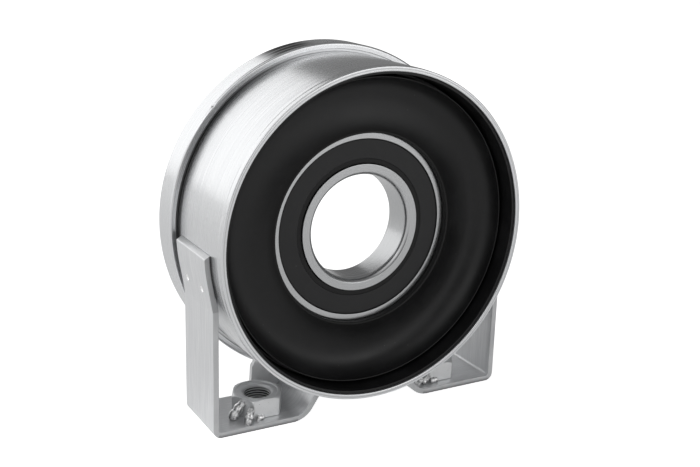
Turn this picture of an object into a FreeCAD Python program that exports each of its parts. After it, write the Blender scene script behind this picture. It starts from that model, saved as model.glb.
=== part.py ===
import FreeCAD, Part
import math
import os

# Driveshaft centre bearing for a heavy propeller shaft.
# A sealed deep-groove ball bearing sits in a moulded rubber cushion, the cushion is bonded
# inside a plated steel drum, and two bent strap brackets with weld nuts carry the drum.
# The origin is the centre of the bearing. The shaft runs along Y, the open front of the
# drum looks towards -Y, and +Z is up. All sizes are in millimetres.

# Bearing rings
bearing_bore_d = 60.0
bearing_outer_d = 110.0
ring_corner = 1.5
groove_wall = 4.5425
ball_count = 10
groove_ratio = 0.517
ball_play = 0.02
groove_depth = 3.06
shoulder_chamfer = 0.8

# Bearing seals
seal_land_drop = 1.2
seal_seat_width = 1.6
outer_ring_wall = 4.4
snap_groove_depth = 0.8
seal_recess = 0.5
seal_thickness = 1.0
seal_lip_thickness = 0.4
seal_lip_reach = 2.8
seal_edge_slope = 0.6
seal_lip_gap = 0.35
seal_edge_gap = 0.05

# Ball cage, a pair of pressed ribbons held by rivets
cage_sheet = 0.9
cage_band = 5.2
cage_ball_gap = 0.1
cage_seal_gap = 0.5625
rivet_d = 2.4
rivet_head_d = 4.2
rivet_head_height = 0.7
rivet_gap = 0.02

# Drum: front shell, with an out-turned flange at its rear end
drum_inner_d = 180.0
shell_wall = 3.1
drum_front = 33.4
shell_flange_front = 29.0
shell_flange_reach = 2.85
rim_round = 0.6
rim_land_width = 4.0
rim_land_step = 0.3

# Drum: rear cover, crimped over the flange of the front shell
cover_sheet = 2.2
cover_length = 17.6
cover_front_round = 3.2
cover_rear_round = 1.2
cover_opening_d = 164.0
crimp_gap = 0.05

# Rubber cushion
cushion_ridge_inset = 4.5
cushion_ridge_height = 23.0
cushion_lip_height = 6.7
cushion_lip_round = 2.4
cushion_lip_overlap = 0.6
cushion_ridge_width = 0.8
cushion_groove_depth = 9.0
cushion_lining = 1.4
cushion_lining_short = 1.4
bond_gap = 0.05

# Strap brackets
strap_thickness = 3.3
strap_width = 41.0
strap_shift = 1.0
strap_top_drop = 2.8
leg_inset = 4.45
crease_drop = 33.1
drum_clearance = 12.6
foot_bend_inner = 1.5
lip_start_x = 44.3
lip_bend_inner = 10.7
lip_angle = 57.0
weld_gap = 0.05
spot_spacing = 20.7
spot_shift = 1.6
spot_drop = 23.5
spot_radius = 1.7
spot_depth = 0.5

# Weld nuts and the holes under them
nut_spacing = 116.0
nut_across_flats = 27.0
nut_height = 11.3
nut_chamfer_angle = 30.0
nut_face_ratio = 0.95
thread_minor_d = 14.4
thread_mouth_d = 21.6
thread_mouth_depth = 1.7
bolt_hole_d = 17.5

# Gusset plates at the rear of the feet
gusset_thickness = 3.3
gusset_foot_x = 53.9
gusset_shoulder_x = 52.9
gusset_shoulder_rise = 17.0
gusset_top_x = 48.9

# Weld beads
bead_radius = 2.2
bead_top_drop = 1.5
bead_step = 7.2
bead_run_out = 6.0
bead_run_forward = 3.7
left_bead_count = 2
right_bead_count = 1
seam_radius = 2.4

# How far a cut runs past the metal that it goes through
cut_margin = 5.0

# Sizes that follow from the ones above
bore_r = bearing_bore_d / 2
race_r = bearing_outer_d / 2
pitch_r = (bore_r + race_r) / 2
ball_r = (race_r - bore_r) / 2 - groove_wall - ball_play
groove_r = 2 * ball_r * groove_ratio
seal_inside = ball_r + cage_ball_gap + cage_sheet + cage_seal_gap
seal_outside = seal_inside + seal_thickness
half_width = seal_outside + seal_recess
inner_groove_floor = pitch_r - ball_r - ball_play
outer_groove_floor = pitch_r + ball_r + ball_play
inner_groove_centre = inner_groove_floor + groove_r
outer_groove_centre = outer_groove_floor - groove_r
inner_shoulder_r = inner_groove_floor + groove_depth
outer_shoulder_r = outer_groove_floor - groove_depth
seal_land_r = inner_shoulder_r - seal_land_drop
seal_mouth_r = race_r - outer_ring_wall
drum_r = drum_inner_d / 2
shell_r = drum_r + shell_wall
seat_r = shell_r + weld_gap
tab_r = seat_r + strap_thickness
leg_outer_x = tab_r - leg_inset
cover_front = shell_flange_front - cover_sheet - crimp_gap
cover_rear = cover_front + cover_length
cover_inner_r = shell_r + shell_flange_reach + crimp_gap
cover_r = cover_inner_r + cover_sheet
floor_z = -shell_r - drum_clearance
foot_top = floor_z + strap_thickness
nut_x = nut_spacing / 2
nut_top = foot_top + weld_gap + nut_height
strap_rear = strap_shift + strap_width / 2
strap_front = strap_shift - strap_width / 2

Y_AXIS = FreeCAD.Vector(0, 1, 0)
Z_AXIS = FreeCAD.Vector(0, 0, 1)
SAME_POINT = 1e-6


def point(x, y, z):
    """A point in the frame of the part."""
    return FreeCAD.Vector(x, y, z)


def across(u, v):
    """Section plane through the shaft axis: u is the radius, v runs along the shaft."""
    return point(u, v, 0)


def facing(u, v):
    """Plane square to the shaft: u is X and v is Z."""
    return point(u, 0, v)


def polar(centre, radius, degrees):
    """Point on a circle in a sketch plane."""
    angle = math.radians(degrees)
    return (centre[0] + radius * math.cos(angle), centre[1] + radius * math.sin(angle))


def bend(centre, radius, first, last):
    """An arc in a sketch plane, given as its middle point and its end point."""
    middle = polar(centre, radius, (first + last) / 2)
    return (middle, polar(centre, radius, last))


def outline(plane, start, moves):
    """Closed face drawn from a start point with straight moves and arcs."""
    edges = []
    here = start
    for move in moves:
        if isinstance(move[0], tuple):
            middle, end = move
            edges.append(Part.Arc(plane(*here), plane(*middle), plane(*end)).toShape())
        else:
            end = move
            edges.append(Part.LineSegment(plane(*here), plane(*end)).toShape())
        here = end
    if math.dist(here, start) > SAME_POINT:
        edges.append(Part.LineSegment(plane(*here), plane(*start)).toShape())
    return Part.Face(Part.Wire(edges))


def turned(start, moves):
    """Solid of revolution about the shaft axis."""
    return outline(across, start, moves).revolve(point(0, 0, 0), Y_AXIS, 360)


def extruded(start, moves, front, length):
    """Plate with the given outline, from y = front over its length."""
    face = outline(facing, start, moves)
    face.translate(point(0, front, 0))
    return face.extrude(point(0, length, 0))


def mirrored_x(shape):
    """The same piece on the other side of the shaft."""
    return shape.mirror(point(0, 0, 0), point(1, 0, 0))


def mirrored_y(shape):
    """The same piece on the other face of the bearing."""
    return shape.mirror(point(0, 0, 0), Y_AXIS)


def spun(shape, degrees):
    """A copy turned about the shaft."""
    copy = shape.copy()
    copy.rotate(point(0, 0, 0), Y_AXIS, degrees)
    return copy


def save(name, shape):
    """Write one node."""
    shape.exportStep("parts/" + name + ".step")


def inner_race():
    """Inner ring: rounded corners, seal lands and the ball groove."""
    face = half_width
    land = seal_land_r
    shoulder = inner_shoulder_r
    step = face - seal_seat_width
    reach = math.sqrt(groove_r ** 2 - (inner_groove_centre - shoulder) ** 2)
    low = bore_r + ring_corner
    end = face - ring_corner
    return turned((bore_r, -end), [
        bend((low, -end), ring_corner, 180, 270),
        (land, -face),
        (land, -step),
        (shoulder, -step + shoulder_chamfer),
        (shoulder, -reach),
        ((inner_groove_floor, 0), (shoulder, reach)),
        (shoulder, step - shoulder_chamfer),
        (land, step),
        (land, face),
        (low, face),
        bend((low, end), ring_corner, 90, 180),
    ])


def outer_race():
    """Outer ring: rounded corners, snap grooves for the seals and the ball groove."""
    face = half_width
    mouth = seal_mouth_r
    shoulder = outer_shoulder_r
    snap = mouth + snap_groove_depth
    snap_front = seal_outside - seal_edge_gap
    snap_back = seal_inside - seal_edge_gap
    reach = math.sqrt(groove_r ** 2 - (shoulder - outer_groove_centre) ** 2)
    high = race_r - ring_corner
    end = face - ring_corner
    return turned((race_r, -end), [
        (race_r, end),
        bend((high, end), ring_corner, 0, 90),
        (mouth, face),
        (mouth, snap_front),
        (snap, snap_front),
        (snap, snap_back),
        (shoulder, snap_back),
        (shoulder, reach),
        ((outer_groove_floor, 0), (shoulder, -reach)),
        (shoulder, -snap_back),
        (snap, -snap_back),
        (snap, -snap_front),
        (mouth, -snap_front),
        (mouth, -face),
        (high, -face),
        bend((high, -end), ring_corner, 270, 360),
    ])


def front_seal():
    """Rubber seal: a flat disc snapped into the outer ring, stepped down to a thin lip that
    ends just short of the inner ring."""
    lip = seal_land_r + seal_lip_gap
    lip_end = lip + seal_lip_reach
    lip_face = seal_inside + seal_lip_thickness
    edge = seal_mouth_r + snap_groove_depth - seal_edge_gap
    shelf = seal_mouth_r - seal_edge_gap
    step = seal_outside - seal_thickness / 2
    return turned((lip, -lip_face), [
        (lip_end, -lip_face),
        (lip_end, -seal_outside),
        (shelf - seal_edge_slope, -seal_outside),
        (shelf, -step),
        (edge, -step),
        (edge, -seal_inside),
        (lip, -seal_inside),
    ])


def ball(index):
    """One ball in its place on the pitch circle."""
    return spun(Part.makeSphere(ball_r, point(0, 0, pitch_r)), index * 360 / ball_count)


def cage_half():
    """Front ribbon of the cage: a pocket round each ball and a flat land between pockets."""
    low = pitch_r - cage_band / 2
    high = pitch_r + cage_band / 2
    pocket_r = ball_r + cage_ball_gap
    shell = pocket_r + cage_sheet
    ribbon = turned((low, 0), [(high, 0), (high, -cage_sheet), (low, -cage_sheet)])
    band = turned((low, 0), [(high, 0), (high, -shell - cage_sheet), (low, -shell - cage_sheet)])
    seat = point(0, 0, pitch_r)
    bulge = Part.makeSphere(shell, seat).common(band)
    hollow = Part.makeSphere(pocket_r, seat)
    pitch = 360 / ball_count
    hole = Part.makeCylinder(rivet_d / 2 + rivet_gap, shell, seat, -Y_AXIS)
    for index in range(ball_count):
        ribbon = ribbon.fuse(spun(bulge, index * pitch))
    for index in range(ball_count):
        ribbon = ribbon.cut(spun(hollow, index * pitch))
        ribbon = ribbon.cut(spun(hole, (index + 0.5) * pitch))
    return ribbon.removeSplitter()


def cage_rivets():
    """One rivet on each land, with a flat round head on both ribbons."""
    base = cage_sheet + rivet_gap
    total = 2 * (base + rivet_head_height)
    shank = Part.makeCylinder(rivet_d / 2, total, point(0, -total / 2, pitch_r), Y_AXIS)
    head = Part.makeCylinder(rivet_head_d / 2, rivet_head_height, point(0, base, pitch_r), Y_AXIS)
    rivet = shank.fuse([head, mirrored_y(head)]).removeSplitter()
    pitch = 360 / ball_count
    return Part.makeCompound([spun(rivet, (n + 0.5) * pitch) for n in range(ball_count)])


def front_shell():
    """Front of the drum: plain rolled wall, rounded rim and an out-turned rear flange."""
    front = -drum_front
    rear = shell_flange_front + shell_wall
    flange_r = shell_r + shell_flange_reach
    land_r = shell_r - rim_land_step
    land_end = front + rim_land_width
    return turned((drum_r, front + rim_round), [
        bend((drum_r + rim_round, front + rim_round), rim_round, 180, 270),
        (land_r - rim_round, front),
        bend((land_r - rim_round, front + rim_round), rim_round, 270, 360),
        (land_r, land_end),
        (shell_r, land_end + rim_land_step),
        (shell_r, shell_flange_front),
        (flange_r, shell_flange_front),
        (flange_r, rear),
        (drum_r, rear),
    ])


def rear_cover():
    """Rear cover: its front edge is folded in behind the flange, its rear turned inwards."""
    mouth = shell_r + crimp_gap
    inside = cover_rear - cover_sheet
    opening = cover_opening_d / 2
    front_corner = (cover_r - cover_front_round, cover_front + cover_front_round)
    rear_corner = (cover_r - cover_rear_round, cover_rear - cover_rear_round)
    return turned((mouth, cover_front), [
        (front_corner[0], cover_front),
        bend(front_corner, cover_front_round, 270, 360),
        (cover_r, rear_corner[1]),
        bend(rear_corner, cover_rear_round, 0, 90),
        (opening, cover_rear),
        (opening, inside),
        (cover_inner_r, inside),
        (cover_inner_r, cover_front + cover_sheet),
        (mouth, cover_front + cover_sheet),
    ])


def rubber_cushion():
    """Moulded rubber: a round lip round the bearing, a deep annular trough on each face, a sharp
    ridge round it, a narrow groove behind the ridge and a thin lining that runs up the wall of
    the drum. The trough is one arc that touches the lip's round and ends square on the ridge."""
    seat = race_r + bond_gap
    lip_r = race_r - cushion_lip_overlap
    crest = (lip_r + cushion_lip_round, half_width + cushion_lip_height - cushion_lip_round)
    ridge_r = drum_r - cushion_ridge_inset
    ridge_top = cushion_ridge_height
    across_trough = ridge_r - crest[0]
    lip_drop = ridge_top - crest[1]
    trough_r = ((across_trough ** 2 + lip_drop ** 2 - cushion_lip_round ** 2)
                / (2 * (across_trough + cushion_lip_round)))
    trough = (ridge_r - trough_r, -ridge_top)
    meeting = math.degrees(math.acos((crest[0] - trough[0]) / (trough_r + cushion_lip_round)))
    outer = drum_r - bond_gap
    lining_r = outer - cushion_lining
    lining_end = drum_front - cushion_lining_short
    groove_end = ridge_top - cushion_groove_depth
    groove_in = ridge_r + cushion_ridge_width
    seat_end = half_width + bond_gap
    front = [
        (seat, -seat_end),
        (lip_r, -seat_end),
        (lip_r, -crest[1]),
        bend((crest[0], -crest[1]), cushion_lip_round, 180, 180 + meeting),
        bend(trough, trough_r, meeting, 0),
        (groove_in, -ridge_top),
        (groove_in, -groove_end),
        (lining_r, -groove_end),
        (lining_r, -lining_end),
        (outer, -lining_end),
    ]
    body = turned(front[0], front[1:] + [(outer, 0), (seat, 0)])
    return body.fuse(mirrored_y(body)).removeSplitter()


def lip_points():
    """Where the upturned end of the foot starts, bends and meets the shell."""
    outer_bend = lip_bend_inner + strap_thickness
    centre = (lip_start_x, floor_z + outer_bend)
    turn = -90 - lip_angle
    inner_end = polar(centre, lip_bend_inner, turn)
    outer_end = polar(centre, outer_bend, turn)
    return centre, turn, shell_hit(inner_end), shell_hit(outer_end)


def shell_hit(start):
    """Point where the straight part of the lip reaches the outside of the shell."""
    angle = math.radians(180 - lip_angle)
    step = (math.cos(angle), math.sin(angle))
    along = start[0] * step[0] + start[1] * step[1]
    gap = start[0] ** 2 + start[1] ** 2 - seat_r ** 2
    length = -along - math.sqrt(along ** 2 - gap)
    return (start[0] + length * step[0], start[1] + length * step[1])


def on_shell(x):
    """Point on the underside of the seat on the shell, at the given X."""
    return (x, -math.sqrt(seat_r ** 2 - x ** 2))


def shell_arc(first, last):
    """Arc along the seat on the shell between two of its points."""
    start = math.degrees(math.atan2(first[1], first[0]))
    end = math.degrees(math.atan2(last[1], last[0]))
    return bend((0, 0), seat_r, start, end)


def crease_points():
    """The angle at which the tab leaves the shell in a straight line, and the two points of the
    crease where this line meets the leg, on its outside and on its inside."""
    crease = (leg_outer_x, -crease_drop)
    away = math.degrees(math.acos(tab_r / math.hypot(*crease)))
    leave = math.degrees(math.atan2(crease[1], crease[0])) + away
    inner_x = leg_outer_x - strap_thickness
    inner_z = (seat_r - inner_x * math.cos(math.radians(leave))) / math.sin(math.radians(leave))
    return leave, crease, (inner_x, inner_z)


def strap_bracket():
    """Right bracket: tab on the shell, crease, straight leg, foot and upturned lip."""
    leg_inner_x = leg_outer_x - strap_thickness
    foot_bend = foot_bend_inner + strap_thickness
    corner = (leg_outer_x - foot_bend, floor_z + foot_bend)
    lip_bend = lip_bend_inner + strap_thickness
    centre, turn, inner_tip, outer_tip = lip_points()
    leave, crease, inner_crease = crease_points()
    top_outer = -math.degrees(math.asin(strap_top_drop / tab_r))
    body = extruded(polar((0, 0), tab_r, top_outer), [
        bend((0, 0), tab_r, top_outer, leave),
        crease,
        (leg_outer_x, floor_z + foot_bend),
        bend(corner, foot_bend, 0, -90),
        (lip_start_x, floor_z),
        bend(centre, lip_bend, -90, turn),
        outer_tip,
        shell_arc(outer_tip, inner_tip),
        polar(centre, lip_bend_inner, turn),
        bend(centre, lip_bend_inner, turn, -90),
        (leg_inner_x - foot_bend_inner, foot_top),
        bend(corner, foot_bend_inner, -90, 0),
        inner_crease,
        polar((0, 0), seat_r, leave),
        bend((0, 0), seat_r, leave, top_outer),
    ], strap_front, strap_width)
    hole = Part.makeCylinder(bolt_hole_d / 2, strap_thickness + 2 * cut_margin,
                             point(nut_x, 0, floor_z - cut_margin), Z_AXIS)
    body = body.cut(hole)
    ball_size = (spot_radius ** 2 + spot_depth ** 2) / (2 * spot_depth)
    spot_out = tab_r + ball_size - spot_depth
    spot_x = (spot_out + spot_drop * math.sin(math.radians(leave))) / math.cos(math.radians(leave))
    for side in (-1, 1):
        spot_y = spot_shift + side * spot_spacing / 2
        body = body.cut(Part.makeSphere(ball_size, point(spot_x, spot_y, -spot_drop)))
    return body


def gusset():
    """Right gusset: a flat plate in the pocket between foot, lip and shell."""
    centre, turn, inner_tip = lip_points()[:3]
    seat = foot_top + weld_gap
    bend_r = lip_bend_inner - weld_gap
    shift = polar((0, 0), weld_gap, turn + 180)
    tip = (inner_tip[0] + shift[0], inner_tip[1] + shift[1])
    top = on_shell(gusset_top_x)
    return extruded((gusset_foot_x, seat), [
        (gusset_shoulder_x, seat + gusset_shoulder_rise),
        top,
        shell_arc(top, tip),
        polar(centre, bend_r, turn),
        bend(centre, bend_r, turn, -90),
    ], strap_rear - gusset_thickness, gusset_thickness)


def weld_nut():
    """Right weld nut: chamfered hexagon with a tapped bore, its flats facing along Y."""
    base = foot_top + weld_gap
    corner_r = nut_across_flats / math.sqrt(3)
    corners = [polar((nut_x, 0), corner_r, 60 * n) for n in range(6)]
    ring = Part.makePolygon([point(x, y, base) for x, y in corners + corners[:1]])
    prism = Part.Face(ring).extrude(point(0, 0, nut_height))
    face_r = nut_across_flats * nut_face_ratio / 2
    drop = nut_height + corner_r
    slope = math.tan(math.radians(nut_chamfer_angle))
    cone = Part.makeCone(face_r + drop / slope, face_r, drop, point(nut_x, 0, nut_top - drop), Z_AXIS)
    body = prism.common(cone)
    bore = Part.makeCylinder(thread_minor_d / 2, nut_height + 2 * cut_margin,
                             point(nut_x, 0, base - cut_margin), Z_AXIS)
    mouth = Part.makeCone(thread_minor_d / 2, thread_mouth_d / 2, thread_mouth_depth,
                          point(nut_x, 0, nut_top - thread_mouth_depth), Z_AXIS)
    return body.cut(bore).cut(mouth)


def bead(start, end):
    """A weld bead: a round run between two points with round ends."""
    first = point(*start)
    last = point(*end)
    run = Part.makeCylinder(bead_radius, first.distanceToPoint(last), first, last - first)
    return run.fuse([Part.makeSphere(bead_radius, first), Part.makeSphere(bead_radius, last)])


def nut_welds(side, nut, bracket, front_beads):
    """Weld beads of one nut: short runs down to the foot from its front left corner, and one
    run along the foot of its rear flat."""
    flat = nut_across_flats / 2
    half_side = flat / math.sqrt(3)
    x = side * nut_x
    corner = (x - half_side, -flat)
    top = nut_top - bead_top_drop - bead_radius
    runs = [bead((x - half_side / 2, flat, foot_top), (x + half_side / 2, flat, foot_top))]
    for index in range(front_beads):
        u, v = polar(corner, index * bead_step, 120)
        runs.append(bead((u, v, top), (u - bead_run_out, v - bead_run_forward, foot_top)))
    below = Part.makeBox(nut_spacing, 2 * strap_width, drum_clearance,
                         point(x - nut_x, -strap_width, foot_top - drum_clearance))
    return Part.makeCompound([run.cut(nut).cut(bracket).cut(below) for run in runs])


def lip_seam(bracket):
    """Right seam weld: a fillet in the corner between the end of the lip and the shell."""
    outer_tip = lip_points()[3]
    run = Part.makeCylinder(seam_radius, strap_width, point(outer_tip[0], strap_front, outer_tip[1]),
                            Y_AXIS)
    drum = Part.makeCylinder(seat_r, strap_width + 2 * cut_margin,
                             point(0, strap_front - cut_margin, 0), Y_AXIS)
    return run.cut(drum).cut(bracket)


def build():
    """Write every node of the centre bearing."""
    os.makedirs("parts", exist_ok=True)
    save("inner_race", inner_race())
    save("outer_race", outer_race())
    seal = front_seal()
    save("front_seal", seal)
    save("rear_seal", mirrored_y(seal))
    for index in range(ball_count):
        save("ball_%02d" % (index + 1), ball(index))
    ribbon = cage_half()
    save("cage_front", ribbon)
    save("cage_rear", mirrored_y(ribbon))
    save("cage_rivets", cage_rivets())
    save("rubber_cushion", rubber_cushion())
    save("front_shell", front_shell())
    save("rear_cover", rear_cover())
    bracket = strap_bracket()
    left_bracket = mirrored_x(bracket)
    save("right_bracket", bracket)
    save("left_bracket", left_bracket)
    plate = gusset()
    save("right_gusset", plate)
    save("left_gusset", mirrored_x(plate))
    nut = weld_nut()
    left_nut = mirrored_x(nut)
    save("right_nut", nut)
    save("left_nut", left_nut)
    save("right_nut_welds", nut_welds(1, nut, bracket, right_bead_count))
    save("left_nut_welds", nut_welds(-1, left_nut, left_bracket, left_bead_count))
    seam = lip_seam(bracket)
    save("right_lip_seam", seam)
    save("left_lip_seam", mirrored_x(seam))


build()
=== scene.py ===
"""Looks of a driveshaft centre bearing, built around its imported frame.

The frame's origin is the centre of the bearing, the shaft runs along Y, the open front of the
drum looks towards -Y and +Z is up. Sizes in this file are in millimetres, and become metres
when a mesh is made. Angles round the shaft are in degrees, from +X towards +Z.
"""

import logging
import math
from dataclasses import dataclass
from enum import Enum
from typing import Any, Sequence

import bmesh
import bpy
import numpy as np
from mathutils import Matrix


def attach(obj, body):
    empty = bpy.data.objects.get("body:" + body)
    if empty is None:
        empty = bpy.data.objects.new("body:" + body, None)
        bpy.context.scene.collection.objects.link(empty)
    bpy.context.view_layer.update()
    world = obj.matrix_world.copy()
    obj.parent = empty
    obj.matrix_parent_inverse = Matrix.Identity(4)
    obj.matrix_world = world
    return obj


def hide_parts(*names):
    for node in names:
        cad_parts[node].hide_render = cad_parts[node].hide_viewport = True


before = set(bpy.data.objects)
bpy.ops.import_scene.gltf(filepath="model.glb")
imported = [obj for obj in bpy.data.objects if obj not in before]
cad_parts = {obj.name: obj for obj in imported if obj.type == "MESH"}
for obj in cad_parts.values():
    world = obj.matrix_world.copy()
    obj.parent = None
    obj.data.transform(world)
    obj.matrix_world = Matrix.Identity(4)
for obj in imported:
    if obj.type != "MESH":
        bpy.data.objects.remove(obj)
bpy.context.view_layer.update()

log = logging.getLogger("centre_bearing")

Mesh = bpy.types.Mesh
Socket = bpy.types.NodeSocket
Corner = tuple[float, float, float]
Place = tuple[float, float, float]
Run = tuple[Place, Place, float, int, float]

MM = 0.001
# Every round has one more point this far along its flat sides
GUARD = 0.12
# Vertices closer than this, in metres, are merged
MERGE = 2e-6
SHARP_DEGREES = 35.0
WHITE = (1.0, 1.0, 1.0, 1.0)


class Body(Enum):
    """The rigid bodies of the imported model."""

    HOUSING = "housing"
    INNER_RING = "inner_ring"
    BALL_SET = "ball_set"


class Side(Enum):
    """The two feet, with the sign of their X."""

    RIGHT = 1
    LEFT = -1


# Outlines and surfaces


def unit(vectors: np.ndarray) -> np.ndarray:
    """Each vector divided by its length."""
    return vectors / np.linalg.norm(vectors, axis=-1, keepdims=True)


def filleted(corners: Sequence[Corner]) -> np.ndarray:
    """Closed outline with a round at every corner.

    Each corner is replaced by the arc that is tangent to its two sides. The arc's centre lies
    on the bisector of the sides, radius / sin(half the angle) from the corner, and its points
    are spread evenly over the arc. One more point stands a little way along each side, so that
    the shading of the round does not run out over the flat beside it. A corner of radius 0
    stays one point, as on a curve that is given point by point.

    Args:
        corners: u, v and radius of each corner, in order round the outline.

    Returns:
        The points of the outline, one row each.
    """
    data = np.array(corners, float)
    here, radius = data[:, :2], data[:, 2]
    back = unit(np.roll(here, 1, axis=0) - here)
    ahead = unit(np.roll(here, -1, axis=0) - here)
    half = 0.5 * np.arccos(np.clip((back * ahead).sum(axis=1), -1.0, 1.0))
    bisector = back + ahead
    bisector /= np.maximum(np.linalg.norm(bisector, axis=1, keepdims=True), 1e-9)
    centre = here + bisector * (radius / np.sin(half))[:, None]
    reach = (radius / np.tan(half))[:, None]
    first = here + back * reach - centre
    last = here + ahead * reach - centre
    sweep = np.maximum(np.pi - 2.0 * half, 1e-6)
    rounded = (radius > 0)[:, None]
    count = np.clip(3.0 + 2.2 * np.sqrt(radius) * sweep, 3, 22).astype(int)
    count = np.where(radius > 0, count, 1)
    index = np.arange(count.max())[None, :]
    share = np.minimum(index / np.maximum(count[:, None] - 1.0, 1.0), 1.0)
    turn = sweep[:, None]
    one = (np.sin((1.0 - share) * turn) / np.sin(turn))[..., None]
    two = (np.sin(share * turn) / np.sin(turn))[..., None]
    arcs = centre[:, None] + one * first[:, None] + two * last[:, None]
    before = (here + back * (reach + GUARD))[:, None]
    after = (here + ahead * (reach + GUARD))[:, None]
    points = np.concatenate([before, arcs, after], axis=1)
    keep = np.concatenate([rounded, index < count[:, None], rounded], axis=1)
    return points[keep]


def with_mirror(half: list[Corner]) -> np.ndarray:
    """Rounded closed outline of the given corners and their mirror image, v turned to -v."""
    return filleted(half + [(u, -v, radius) for u, v, radius in reversed(half)])


def arc(centre: tuple[float, float], radius: float, first: float, last: float,
        count: int) -> np.ndarray:
    """Points on a circle: centre + radius * (cos a, sin a), with a from first to last degrees."""
    angle = np.radians(np.linspace(first, last, count))
    return np.array(centre) + radius * np.column_stack([np.cos(angle), np.sin(angle)])


def line(first: Sequence[float], last: Sequence[float], count: int) -> np.ndarray:
    """Points on a straight line, evenly spaced from first to last."""
    return np.linspace(np.asarray(first, float), np.asarray(last, float), count)


def grid_faces(rows: int, columns: int, wrap_rows: bool) -> np.ndarray:
    """Four-sided faces that join the points of a grid whose last column joins the first.

    Args:
        rows: number of rows of the grid.
        columns: number of columns of the grid.
        wrap_rows: whether the last row joins the first.

    Returns:
        The faces, four vertex numbers each.
    """
    i = np.arange(rows if wrap_rows else rows - 1)[:, None]
    j = np.arange(columns)[None, :]
    below, beside = (i + 1) % rows, (j + 1) % columns
    corners = [i * columns + j, below * columns + j, below * columns + beside,
               i * columns + beside]
    return np.stack([np.broadcast_to(c, (i.size, j.size)) for c in corners], axis=-1).reshape(-1, 4)


def make_mesh(name: str, points: np.ndarray, faces: Sequence[np.ndarray]) -> Mesh:
    """A mesh with merged doubles, outward faces and smooth shading up to a sharp angle.

    Args:
        name: the mesh's name.
        points: the vertices in millimetres, one row each.
        faces: arrays of faces, each array with its own number of corners.

    Returns:
        The mesh, in metres.
    """
    mesh = bpy.data.meshes.new(name)
    corners = np.concatenate([part.ravel() for part in faces])
    sizes = np.concatenate([np.full(len(part), part.shape[1]) for part in faces])
    mesh.vertices.add(len(points))
    mesh.vertices.foreach_set("co", (points * MM).ravel())
    mesh.loops.add(len(corners))
    mesh.loops.foreach_set("vertex_index", corners.astype(np.int32))
    mesh.polygons.add(len(sizes))
    starts = np.concatenate([[0], np.cumsum(sizes)[:-1]])
    mesh.polygons.foreach_set("loop_start", starts.astype(np.int32))
    mesh.update(calc_edges=True)
    tidy_mesh(mesh)
    return mesh


def tidy_mesh(mesh: Mesh) -> None:
    """Merge doubles, turn the faces outwards and shade smooth up to the sharp angle."""
    work = bmesh.new()
    work.from_mesh(mesh)
    bmesh.ops.remove_doubles(work, verts=work.verts, dist=MERGE)
    bmesh.ops.dissolve_degenerate(work, edges=work.edges, dist=MERGE / 2)
    bmesh.ops.recalc_face_normals(work, faces=work.faces)
    work.to_mesh(mesh)
    work.free()
    mesh.polygons.foreach_set("use_smooth", np.ones(len(mesh.polygons), bool))
    mesh.set_sharp_from_angle(angle=math.radians(SHARP_DEGREES))
    mesh.update()


def mesh_points(mesh: Mesh) -> np.ndarray:
    """The vertices of a mesh in millimetres, one row each."""
    points = np.empty(3 * len(mesh.vertices))
    mesh.vertices.foreach_get("co", points)
    return points.reshape(-1, 3) / MM


def round_shaft(points: np.ndarray) -> tuple[np.ndarray, np.ndarray]:
    """Distance from the shaft and angle round it, in degrees, of each point."""
    return np.hypot(points[:, 0], points[:, 2]), np.degrees(np.arctan2(points[:, 2], points[:, 0]))


def mark(mesh: Mesh, name: str, amount: np.ndarray) -> None:
    """Store a value from 0 to 1 at each vertex for the finish to read.

    One value says how dark the surface is with dirt and with painted shade; the other says
    how smooth it was pressed and how much a painted highlight lightens it.
    """
    store = mesh.attributes.new(name, "FLOAT", "POINT")
    store.data.foreach_set("value", np.clip(amount, 0.0, 1.0).astype(np.float32))


def join_surfaces(parts: Sequence[tuple[np.ndarray, np.ndarray]]) -> tuple[np.ndarray, list[np.ndarray]]:
    """Several surfaces as one set of points and faces.

    Args:
        parts: points and faces of each surface.

    Returns:
        All the points, and the faces renumbered to them.
    """
    offsets = np.cumsum([0] + [len(points) for points, _ in parts[:-1]])
    return (np.concatenate([points for points, _ in parts]),
            [faces + offset for (_, faces), offset in zip(parts, offsets)])


def turned(profile: np.ndarray, angles: np.ndarray) -> tuple[np.ndarray, list[np.ndarray]]:
    """Surface of revolution about the shaft.

    A profile point (r, y) at the angle a lies at (r cos a, y, r sin a).

    Args:
        profile: closed profile, radius and Y of each point.
        angles: angles of the columns in degrees.

    Returns:
        Points and faces.
    """
    turn = np.radians(angles)[None, :]
    radius, along = profile[:, :1], profile[:, 1:]
    points = np.stack([radius * np.cos(turn), np.broadcast_to(along, (len(profile), turn.size)),
                       radius * np.sin(turn)], axis=-1)
    return points.reshape(-1, 3), [grid_faces(len(profile), turn.size, True)]


def capped(rings: np.ndarray) -> tuple[np.ndarray, list[np.ndarray]]:
    """Surface through a stack of rings, each a row of points, closed by a face at both ends."""
    rows, columns = rings.shape[:2]
    first = np.arange(columns)[None, :]
    last = (rows - 1) * columns + first[:, ::-1]
    return rings.reshape(-1, 3), [grid_faces(rows, columns, False), first, last]


def full_circle(count: int, finer_at: Sequence[float] = ()) -> np.ndarray:
    """Angles round the full circle, with closer ones about the given angles."""
    even = np.linspace(0.0, 360.0, count, endpoint=False)
    near = np.array([centre + step for centre in finer_at for step in np.linspace(-1.2, 1.2, 13)])
    return np.unique(np.round(np.concatenate([even, near % 360.0]), 4))


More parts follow.
